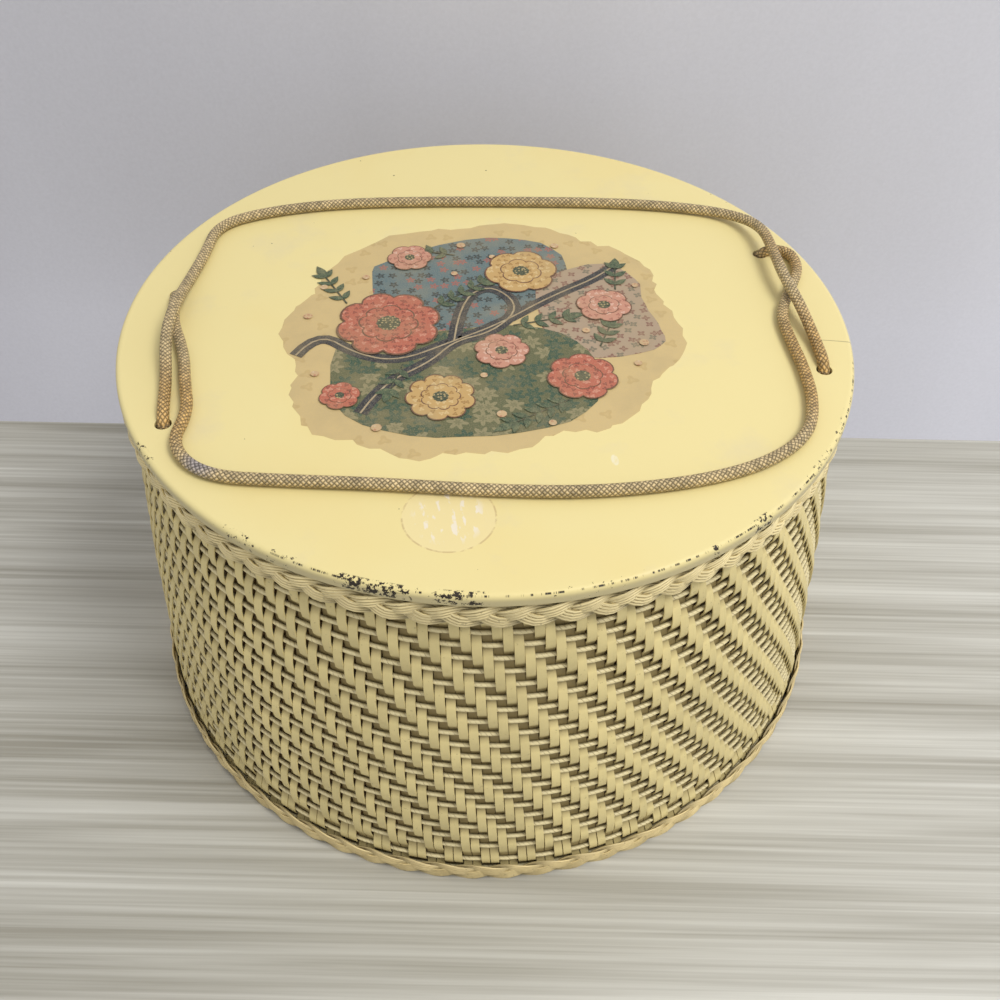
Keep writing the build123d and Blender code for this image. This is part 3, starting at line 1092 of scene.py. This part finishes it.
# Where a round label once was, a ring of old glue and torn paper is left; near it the
# paint has a pale scuff, and the board has a short crack at its right edge.
label = vector_maths("DISTANCE", place, LABEL, "Value")
film = ramp(label, 0.0180, 0.0176, 0.0, 0.22)
glued = ramp(abs(label - LABEL_RADIUS), 0.0005, 0.0002)
glued = glued * (ramp(noise_value(place, 330.0), 0.40, 0.55) * 0.45)
torn = noise_value(stretched(place, Rotation=(0, 0, 0.9), Scale=(1.0, 0.35, 1.0)), 330.0, 4.0, 0.6)
torn = ramp(torn, 0.53, 0.57) * ramp(label, 0.0150, 0.0115, 0.0, 0.65)
scuff_x, scuff_y = (x - SCUFF[0]) / SCUFF_SIZE[0], (y - SCUFF[1]) / SCUFF_SIZE[1]
scuff = ramp(scuff_x * scuff_x + scuff_y * scuff_y, 1.0, 0.6) * ramp(chips, 0.35, 0.5, 0.2, 0.7)
upper_side = ramp(z, LID_TOP - 0.004, LID_TOP - 0.002)
colour = LID_COLOUR
for mask, tone in (
    (clouds, (0.80, 0.62, 0.235)),
    (dusty, (0.68, 0.60, 0.42)),
    # Painted shade: the lid's upright edge is coloured darker than its top.
    (ramp(z, 0.1925, 0.1900) * 0.75, (0.55, 0.48, 0.29)),
    (film * upper_side, (0.84, 0.71, 0.45)),
    (glued * upper_side, (0.42, 0.25, 0.12)),
    (torn * upper_side, (0.84, 0.79, 0.74)),
    (scuff * upper_side, (0.86, 0.81, 0.62)),
):
    colour = blend_colour(mask, colour, tone)
wander = noise_value(place, 90.0, 2.0) * 0.008 - 0.004
crack = ramp(abs(azimuth + EDGE_CRACK + wander), 0.0013, 0.0005) * ramp(radius, 0.146, 0.149)
dirt = maths("MAXIMUM", dirt, crack * 0.8)
coloured(shader, blend_colour(dirt, colour, (0.028, 0.020, 0.014)))
bumped(shader, noise_value(place, 60.0) * 0.12 - dirt, 0.5, 0.0002)
paint(lid, lid_paint)
print("lid paint:", len(tree.nodes), "nodes")

# %% The braid group
# Strands wind round in two ways; each crossing shows the one that is on top there.
braid, given = start_group("braid", {"Strands": 8.0, "Pitch": 0.0125}, ["Height", "Pick"])
along, around, _ = parts_of(map_place(braid, uv_map="along"))
turns = along / given["Pitch"]
waves = (turns + around) * given["Strands"], (turns - around) * given["Strands"]
one, two = (maths("SINE", maths("FRACT", wave) * pi) for wave in waves)
cells = [maths("FLOOR", wave) for wave in waves]
way = maths("PINGPONG", cells[0] + cells[1], 1.0)
low, high = two * maths("POWER", one, 0.35), one * maths("POWER", two, 0.35)
cell = place_of(braid, X=cells[0], Y=cells[1])
pick = put(braid, "ShaderNodeTexWhiteNoise", {"noise_dimensions": "3D"}, Vector=cell)
end_group(braid, Height=low + (high - low) * way, Pick=field(pick, "Value"))


# %% The finish of the cords
def cord_material(name, colour, stains):
    """Shiny braided thread; each stain is a place, a reach, a colour and a strength."""
    material, tree, shader = new_material(name, 0.42)
    woven = use_group(tree, braid, Strands=7.0, Pitch=0.0150)
    place = object_place(tree)
    slow = ramp(noise_value(place, 45.0), 0.35, 0.7)
    base = blend_colour(slow, colour, tuple(0.80 * c for c in colour))
    for point, reach, stain, strength in stains:
        gap = vector_maths("DISTANCE", place, point, "Value")
        base = blend_colour(ramp(gap, reach, reach * 0.45, 0.0, strength), base, stain)
    light = ramp(woven["Pick"], 0.0, 1.0, 0.72, 1.30)
    # Painted shade and painted highlight: the braid is coloured darker where a strand dips under
    # another and lighter on its crests.
    braid_shade_and_highlight = ramp(woven["Height"], 0.15, 0.85, 0.50, 1.42)
    threads = ramp(noise_value(place, 2600.0, 2.0), 0.3, 0.7, 0.85, 1.15)
    coloured(shader, scaled(base, light * braid_shade_and_highlight * threads))
    bumped(shader, woven["Height"], 1.0, 0.0005)
    return material


GOLD = (0.47, 0.29, 0.095)
cord_thread = cord_material(
    "cord_thread",
    (0.50, 0.385, 0.205),
    [
        ((-0.1415, -0.052, 0.193), 0.034, GOLD, 0.85),
        ((0.1410, -0.058, 0.193), 0.050, GOLD, 0.85),
        ((0.1540, 0.026, 0.196), 0.024, GOLD, 0.55),
        ((-0.1228, -0.0858, 0.196), 0.010, (0.24, 0.23, 0.28), 0.7),
    ],
)
tail_thread = cord_material("tail_thread", (0.36, 0.24, 0.10), [])
for piece in (back_cord, front_cord):
    paint(piece, cord_thread)
for piece in [*tails.values(), *knots.values()]:
    paint(piece, tail_thread)

# %% The finish of the board, the hoop and the brads
bare_wood, tree, shader = new_material("bare_wood", 0.7)
fibres = stretched(object_place(tree), Scale=(6.0, 110.0, 40.0))
veins = put(tree, "ShaderNodeTexWave", Vector=fibres, Scale=0.35, Distortion=9.0, Detail=3.0)
streaks = noise_value(fibres, 1.0, 6.0, 0.6) * (field(veins, "Fac") * 0.5 + 0.75)
coloured(shader, blend_colour(ramp(streaks, 0.3, 0.75), (0.50, 0.34, 0.175), (0.30, 0.175, 0.075)))
bumped(shader, streaks, 0.35, 0.0003)

brad_steel, tree, shader = new_material("brad_steel", 0.4)
tarnish = noise_value(object_place(tree), 900.0, 4.0)
coloured(shader, blend_colour(ramp(tarnish, 0.45, 0.65), (0.42, 0.40, 0.37), (0.17, 0.10, 0.06)))
feed(shader.inputs["Metallic"], ramp(tarnish, 0.4, 0.7, 0.9, 0.2))

for material, names in (
    (bare_wood, ("base_board", "rim_hoop")),
    (brad_steel, ("base_brads", "rim_brads")),
):
    for name in names:
        for material_slot in bpy.data.objects[name].material_slots:
            material_slot.material = material
print("bare pieces finished")

# %% [markdown]
# ## The paper picture on the lid
# A cut-out paper print is glued to the middle of the lid.  Here it is a design of its
# own: three pieces of calico, blossoms with rounded petals, sprigs of leaves and a dark
# ribbon, in the muted colours of old scrap pictures.  Every shape is a flat outline
# filled by a curve and a few hundredths of a millimetre thick, one on top of the other.
# The printed patterns are cells of noise with a petal shape worked out in each.

# %% Flat paper shapes
PICTURE = Vector((-0.003, -0.008, 0.0))
PAPER = 0.00005


def cut_out(name, outline, level):
    """A thin filled shape, in millimetres from the picture's middle, on one level."""
    places = [(x / 1000 + PICTURE.x, y / 1000 + PICTURE.y, 0) for x, y in outline]
    drawn = drawn_curve(name, [places])
    drawn.data.fill_mode = "BOTH"
    drawn.data.extrude = PAPER * 0.8
    mesh = mesh_of(drawn)
    height = LID_TOP + PAPER * (level + 0.35)
    for vertex in mesh.vertices:
        vertex.co.z += height
    return add_object(name, mesh)


def petalled(x, y, radius, petals, depth, turn=0.0, steps=8):
    """An outline with rounded petals."""
    count = petals * steps
    points = []
    for i in range(count):
        a = 2 * pi * i / count
        r = radius * (1 - depth * (1 - abs(cos(petals * a / 2)) ** 0.6))
        points.append((x + r * cos(a + turn), y + r * sin(a + turn)))
    return points


def leaf(x, y, length, width, turn):
    """A pointed leaf that starts at x, y."""
    points = []
    for way in (1, -1):
        for i in range(9):
            t = i / 9 if way == 1 else 1 - i / 9
            across = way * 0.5 * width * sin(pi * t**0.8)
            ahead = length * t
            right = ahead * cos(turn) - across * sin(turn)
            up = ahead * sin(turn) + across * cos(turn)
            points.append((x + right, y + up))
    return points


def ribbon(points, width):
    """The outline of a flat band along a smooth way through the points."""
    line = smooth_line([(x, y, 0) for x, y in points])
    left, right = [], []
    for i in range(0, len(line), 3):
        ahead = line[min(i + 3, len(line) - 1)] - line[max(i - 3, 0)]
        across = Vector((-ahead.y, ahead.x, 0)).normalized() * width / 2
        left.append((line[i].x + across.x, line[i].y + across.y))
        right.append((line[i].x - across.x, line[i].y - across.y))
    return left + right[::-1]


def ragged(points, amount, steps):
    """Round a given outline off and let it wander a little, as scissors do."""
    line = smooth_line([(x, y, 0) for x, y in points + points[:1]])
    drawn = []
    for i in range(0, len(line) - 1, steps):
        p = line[i]
        near = p * 0.23
        drift = Vector((noise.noise(near), noise.noise(near + Vector((9, 4, 2)))))
        drawn.append((p.x + amount * drift.x, p.y + amount * drift.y))
    return drawn


# %% Cut out and lay the picture
PAPER_EDGE = [
    (-52, 72), (-30, 86), (-4, 83), (18, 88), (42, 80), (58, 66), (78, 54), (88, 34),
    (84, 14), (91, -8), (86, -32), (70, -42), (62, -60), (44, -76), (22, -72), (4, -84),
    (-22, -80), (-40, -84), (-58, -70), (-80, -62), (-88, -38), (-82, -20), (-92, 2),
    (-86, 26), (-74, 34), (-70, 56),
]
TEAL_PATCH = [(-46, 56), (-8, 76), (34, 72), (52, 48), (30, 8), (-20, -4), (-52, 18)]
STRAW_PATCH = [(30, 34), (62, 52), (80, 30), (76, 10), (82, -12), (78, -26), (40, -30), (22, -8)]
GREEN_PATCH = [(-66, -6), (-20, 2), (30, 0), (50, -28), (40, -66), (-2, -74), (-50, -68)]
GREEN_PATCH += [(-76, -40)]
FLOWERS = [  # middle, radius, petals, turn, which colour
    (-42.0, 8.0, 23.0, 8, 0.2, "coral"),
    (38.0, -40.0, 15.0, 7, 0.5, "coral"),
    (24.0, 42.0, 17.0, 6, 0.1, "straw"),
    (-24.0, -46.0, 14.5, 9, 0.3, "straw"),
    (58.0, 10.0, 12.5, 6, 0.7, "rose"),
    (-28.0, 60.0, 10.5, 6, 0.0, "rose"),
    (6.0, -18.0, 12.0, 7, 0.9, "rose"),
    (-66.0, -40.0, 8.5, 6, 0.2, "coral"),
]
SPRIGS = [  # foot, direction in degrees, length
    (-20.0, 18.0, 35.0, 40.0),
    (-60.0, 26.0, 112.0, 34.0),
    (50.0, -20.0, 62.0, 22.0),
    (30.0, -54.0, 205.0, 38.0),
    (-38.0, -22.0, 248.0, 26.0),
    (14.0, 0.0, 8.0, 34.0),
    (66.0, 22.0, 78.0, 26.0),
    (-6.0, 60.0, 160.0, 18.0),
]
BANDS = [
    [(-84, -10), (-74, 6), (-58, -12), (-40, -20), (-14, -8), (8, 2), (34, 20), (62, 34), (72, 44)],
    [(-14, -8), (-8, 22), (8, 34), (20, 14), (4, -4), (-14, -8), (-26, -22), (-48, -34)]
    + [(-58, -52)],
]
BEADS = [
    (-2, 68, 2.2), (44, 62, 2.0), (70, -20, 2.2), (64, -34, 1.7), (0, -60, 2.1),
    (-52, -62, 2.2), (-78, 18, 2.0), (-70, 40, 1.8), (12, 56, 1.6), (-8, 44, 1.6),
    (46, -8, 1.8), (-4, -34, 1.6), (20, -68, 1.7), (-76, -24, 1.8), (76, 24, 1.6),
    (-50, 46, 1.7),
]


def grow_sprig(x, y, heading, length):
    """A stem with pairs of leaves."""
    turn = radians(heading)

    def up(share):
        return x + length * share * cos(turn), y + length * share * sin(turn)

    shapes = [leaf(*up(0.72), length * 0.30, 4.4, turn)]
    pairs = max(2, round(length / 8))
    for i in range(pairs):
        for way in (1, -1):
            shapes.append(leaf(*up(0.78 * (i + 0.6) / pairs), 7.2, 3.2, turn + way * 0.85))
    return ribbon([(x, y), up(0.5), up(0.8)], 0.8), shapes


picture = {kind: [] for kind in ("paper", "teal", "straw_print", "green", "dark", "grey")}
picture |= {kind: [] for kind in ("stem", "leaf", "coral", "straw", "rose", "rim", "heart", "bead")}


def lay(kind, outline, level):
    """Cut one shape and add it to the shapes of its kind."""
    picture[kind].append(cut_out("picture_" + kind, outline, level))


lay("paper", ragged(PAPER_EDGE, 3.0, 3), 0)
lay("teal", ragged(TEAL_PATCH, 1.2, 4), 1)
lay("straw_print", ragged(STRAW_PATCH, 1.2, 4), 2)
lay("green", ragged(GREEN_PATCH, 1.2, 4), 3)
for i, points in enumerate(BANDS):
    lay("dark", ribbon(points, 6.2), 4 + i)
    lay("grey", ribbon(points, 0.8), 6 + i)
for sprig in SPRIGS:
    stem, shapes = grow_sprig(*sprig)
    lay("stem", stem, 8)
    for k, shape in enumerate(shapes):
        lay("leaf", shape, 9 + k * 0.3)
for x, y, radius, petals, turn, kind in FLOWERS:
    inner_turn = turn + pi / petals
    lay("rim", petalled(x, y, radius * 1.045, petals, 0.15, turn), 13)
    lay(kind, petalled(x, y, radius, petals, 0.16, turn), 14)
    lay("rim", petalled(x, y, radius * 0.60, petals, 0.16, inner_turn), 15)
    lay(kind, petalled(x, y, radius * 0.565, petals, 0.16, inner_turn), 16)
    lay("heart", petalled(x, y, radius * 0.24, 12, 0.10), 17)
for x, y, radius in BEADS:
    lay("bead", petalled(x, y, radius, 12, 0.0, steps=2), 13)
for kind, pieces in picture.items():
    whole = join(pieces, "picture_" + kind) if len(pieces) > 1 else pieces[0]
    whole.name = "picture_" + kind
    outwards(whole)
    settle(whole, 30)
    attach(whole, "lid")
    picture[kind] = whole
print("picture:", sum(triangles(piece) for piece in picture.values()), "triangles")

# %% The calico group
calico, given = start_group(
    "calico",
    {
        "Ground": (0.2, 0.3, 0.3, 1),
        "First": (0.05, 0.07, 0.07, 1),
        "Second": (0.5, 0.2, 0.15, 1),
        "Cells": 190.0,
        "Petals": 5.0,
        "Fill": 0.30,
    },
    ["Colour"],
)
place = object_place(calico)
flat = vector_maths("MULTIPLY", place, (1.0, 1.0, 0.0))
spots = put(
    calico,
    "ShaderNodeTexVoronoi",
    {"feature": "F1", "voronoi_dimensions": "2D"},
    Vector=flat,
    Scale=given["Cells"],
    Randomness=0.72,
)
off = parts_of(vector_maths("SUBTRACT", flat, field(spots, "Position")))
away = field(spots, "Distance")
chance = parts_of(field(spots, "Color"), "Color")
turn = maths("ARCTAN2", off[1], off[0]) + chance[0] * 6.28
reach = (maths("COSINE", turn * given["Petals"]) * 0.34 + 0.95) * given["Fill"]
motif = blend_colour(maths("GREATER_THAN", chance[1], 0.62), given["First"], given["Second"])
hollow = ramp(away - reach * 0.4, -0.02, 0.02)
shape = ramp(away - reach, 0.02, -0.02) * (hollow * 0.5 + 0.5)
printed = blend_colour(shape, given["Ground"], motif)
screen = ramp(noise_value(place, 1900.0, 2.0), 0.45, 0.75, 0.0, 0.35)
end_group(calico, Colour=blend_colour(screen, printed, (0.50, 0.40, 0.25)))


def print_material(name, ground, first, second, cells, petals, fill):
    """Old matt printing ink in a small all-over pattern."""
    material, tree, shader = new_material(name, 0.5, 0.3)
    inks = {"Ground": ground, "First": first, "Second": second}
    ink = use_group(tree, calico, **inks, Cells=cells, Petals=petals, Fill=fill)
    stain = ramp(noise_value(object_place(tree), 55.0, 4.0), 0.45, 0.7, 0.0, 0.30)
    coloured(shader, blend_colour(stain, ink["Colour"], (0.42, 0.33, 0.18)))
    return material


# %% Print the picture
INKS = {  # ground, first and second motif, cells per metre, petals, fill
    "paper": ((0.62, 0.47, 0.22), (0.56, 0.41, 0.18), (0.62, 0.47, 0.22), 90.0, 3.0, 0.22),
    "teal": ((0.115, 0.175, 0.185), (0.030, 0.045, 0.050), (0.33, 0.12, 0.10), 165.0, 5.0, 0.30),
    "straw_print": ((0.40, 0.30, 0.21), (0.23, 0.115, 0.085), (0.17, 0.155, 0.11), 185.0, 4.0, 0.3),
    "green": ((0.115, 0.125, 0.060), (0.035, 0.085, 0.055), (0.26, 0.235, 0.125), 120.0, 6.0, 0.44),
    "dark": ((0.034, 0.038, 0.046), (0.05, 0.055, 0.062), (0.026, 0.028, 0.034), 300.0, 2.0, 0.3),
    "grey": ((0.40, 0.32, 0.20), (0.3, 0.23, 0.14), (0.46, 0.38, 0.25), 300.0, 2.0, 0.3),
    "stem": ((0.05, 0.065, 0.04), (0.04, 0.05, 0.03), (0.05, 0.065, 0.04), 200.0, 2.0, 0.2),
    "leaf": ((0.075, 0.115, 0.065), (0.045, 0.075, 0.045), (0.13, 0.16, 0.085), 420.0, 2.0, 0.36),
    "coral": ((0.47, 0.135, 0.085), (0.25, 0.060, 0.045), (0.60, 0.27, 0.19), 330.0, 3.0, 0.30),
    "straw": ((0.55, 0.355, 0.135), (0.36, 0.20, 0.06), (0.66, 0.49, 0.24), 300.0, 3.0, 0.28),
    "rose": ((0.56, 0.27, 0.19), (0.38, 0.14, 0.10), (0.68, 0.44, 0.34), 310.0, 3.0, 0.28),
    "rim": ((0.16, 0.075, 0.045), (0.12, 0.05, 0.03), (0.2, 0.1, 0.06), 300.0, 2.0, 0.2),
    "heart": ((0.055, 0.075, 0.045), (0.55, 0.42, 0.2), (0.03, 0.04, 0.025), 620.0, 5.0, 0.26),
    "bead": ((0.58, 0.40, 0.22), (0.45, 0.17, 0.11), (0.62, 0.48, 0.32), 500.0, 4.0, 0.25),
}
for kind, ink in INKS.items():
    paint(picture[kind], print_material("ink_" + kind, *ink))
print("inks:", len(INKS))
